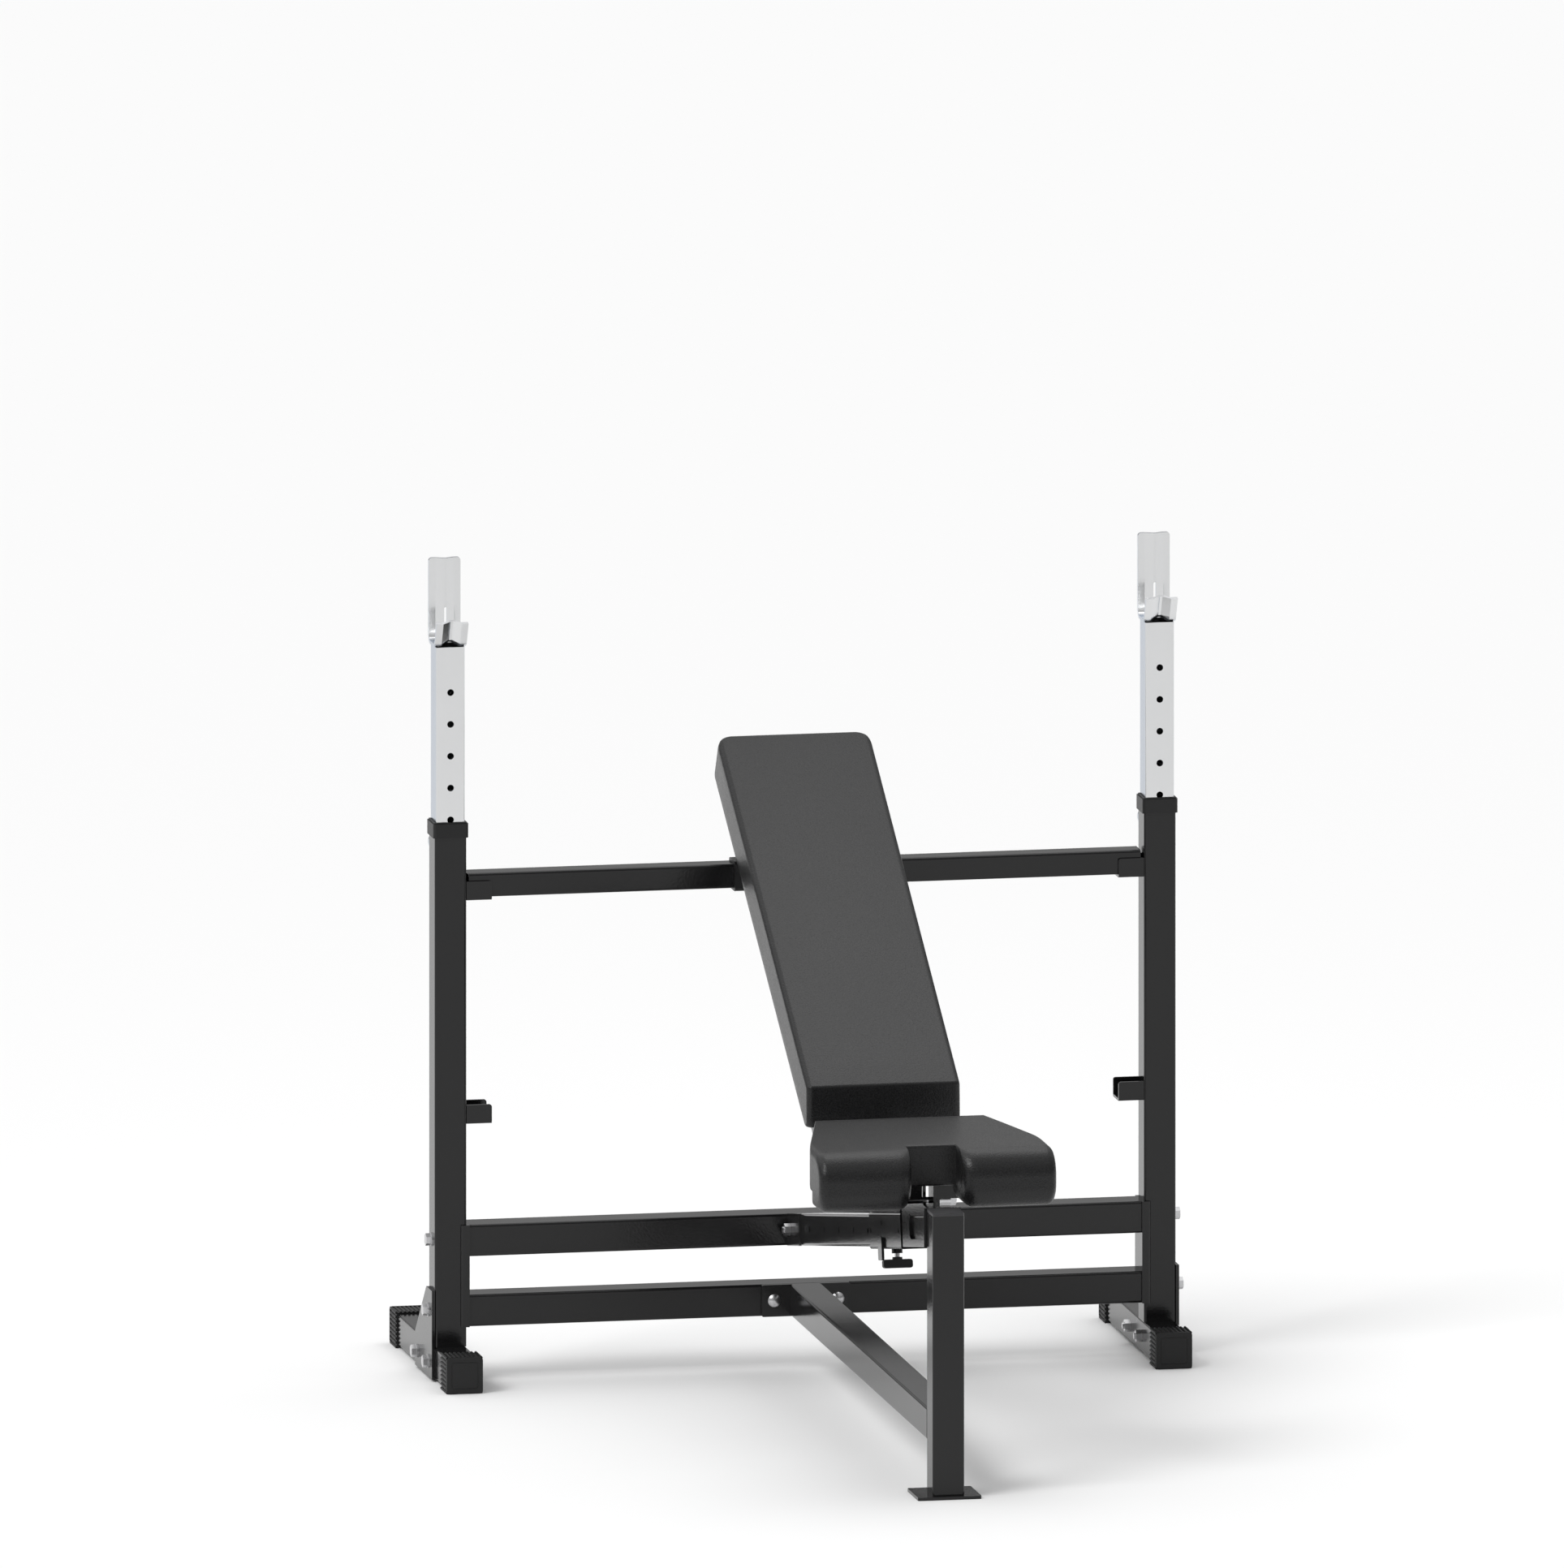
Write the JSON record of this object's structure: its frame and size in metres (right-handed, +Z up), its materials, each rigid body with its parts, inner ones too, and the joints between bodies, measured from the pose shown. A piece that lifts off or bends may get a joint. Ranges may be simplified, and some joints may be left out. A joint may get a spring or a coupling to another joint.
{
  "type": "olympic bench press",
  "caption": "Weight bench with a sliding seat and propped backrest, joined to a bar rack with telescoping saddle posts set by pull pins.",
  "frame": {"origin": "on the floor, under the middle of the outline", "axes": "+Z up, +Y from the seat toward the bar rack, +X across the rack"},
  "size_m": [1.198, 1.502, 1.286],
  "materials": {
    "frame_paint": "fine orange-peel powder coat, semi-gloss",
    "chrome_plate": "bright plate",
    "zinc_steel": "zinc plated",
    "black_plastic": "moulded satin",
    "cap_plastic": "moulded, ribbed",
    "pad_vinyl": "fine-grained vinyl",
    "plywood": "raw plywood"
  },
  "bodies": {
    "frame": {"left_upright": "frame_paint", "right_upright": "frame_paint", "left_foot_tube": "frame_paint", "right_foot_tube": "frame_paint", "left_front_cap": "cap_plastic", "right_front_cap": "cap_plastic", "left_rear_cap": "cap_plastic", "right_rear_cap": "cap_plastic", "left_gusset": "frame_paint", "right_gusset": "frame_paint", "left_collar": "black_plastic", "right_collar": "black_plastic", "left_pin_housing": "frame_paint", "right_pin_housing": "frame_paint", "left_end_channel": "frame_paint", "right_end_channel": "frame_paint", "left_upper_hook": "frame_paint", "right_upper_hook": "frame_paint", "left_lower_hook": "frame_paint", "right_lower_hook": "frame_paint", "crossbar": "frame_paint", "crossbar_sleeve": "black_plastic", "upper_crossbeam": "frame_paint", "lower_crossbeam": "frame_paint", "brace_tube": "frame_paint", "brace_flange": "frame_paint", "brace_bolts": "zinc_steel", "front_post": "frame_paint", "front_post_cap": "black_plastic", "front_foot_plate": "frame_paint", "main_beam": "frame_paint", "beam_rear_bracket": "frame_paint", "beam_front_bracket": "frame_paint", "beam_bolt": "zinc_steel", "left_frame_bolts": "zinc_steel", "right_frame_bolts": "zinc_steel", "frame_nuts": "zinc_steel"},
    "left_post_set": {"left_post": "chrome_plate", "left_saddle": "chrome_plate"},
    "right_post_set": {"right_post": "chrome_plate", "right_saddle": "chrome_plate"},
    "left_pin_set": {"left_pull_pin": "zinc_steel", "left_pin_knob": "chrome_plate"},
    "right_pin_set": {"right_pull_pin": "zinc_steel", "right_pin_knob": "chrome_plate"},
    "carriage": {"carriage_sleeve": "frame_paint", "left_seat_cheek": "frame_paint", "right_seat_cheek": "frame_paint", "seat_board": "plywood", "seat_pad": "pad_vinyl", "seat_cross_bolt": "zinc_steel", "clamp_boss": "frame_paint"},
    "clamp": {"clamp_stud": "zinc_steel", "clamp_handle": "black_plastic"},
    "backrest": {"left_back_rail": "frame_paint", "right_back_rail": "frame_paint", "backrest_board": "plywood", "backrest_pad": "pad_vinyl", "pivot_axle": "zinc_steel", "pivot_bushes": "black_plastic"}
  },
  "joints": [
    {"name": "left_post_height", "type": "slide", "parent": "frame", "child": "left_post_set", "axis": [0, 0, 1], "range_m": [-0.25, 0.05]},
    {"name": "left_pin_pull", "type": "slide", "parent": "frame", "child": "left_pin_set", "axis": [0, 1, 0], "range_m": [0, 0.012], "stiffness_N_per_m": 500, "springref_m": -0.01},
    {"name": "right_post_height", "type": "slide", "parent": "frame", "child": "right_post_set", "axis": [0, 0, 1], "range_m": [-0.25, 0.05]},
    {"name": "right_pin_pull", "type": "slide", "parent": "frame", "child": "right_pin_set", "axis": [0, 1, 0], "range_m": [0, 0.012], "stiffness_N_per_m": 500, "springref_m": -0.01},
    {"name": "carriage_slide", "type": "slide", "parent": "frame", "child": "carriage", "axis": [0, 0.9848, -0.1736], "range_m": [0, 0.354]},
    {"name": "backrest_tilt", "type": "hinge", "parent": "carriage", "child": "backrest", "pos_m": [0, -0.23193, 0.45406], "axis": [1, 0, 0], "range_deg": [0, 27.3]},
    {"name": "clamp_turn", "type": "hinge", "parent": "carriage", "child": "clamp", "pos_m": [0, -0.33136, 0.29889], "axis": [0, 0.1736, 0.9848], "range_deg": [0, 180]}
  ],
  "couplings": [
    {"joint": "backrest_tilt", "follows": "carriage_slide", "rad_per_m": 1.341}
  ]
}
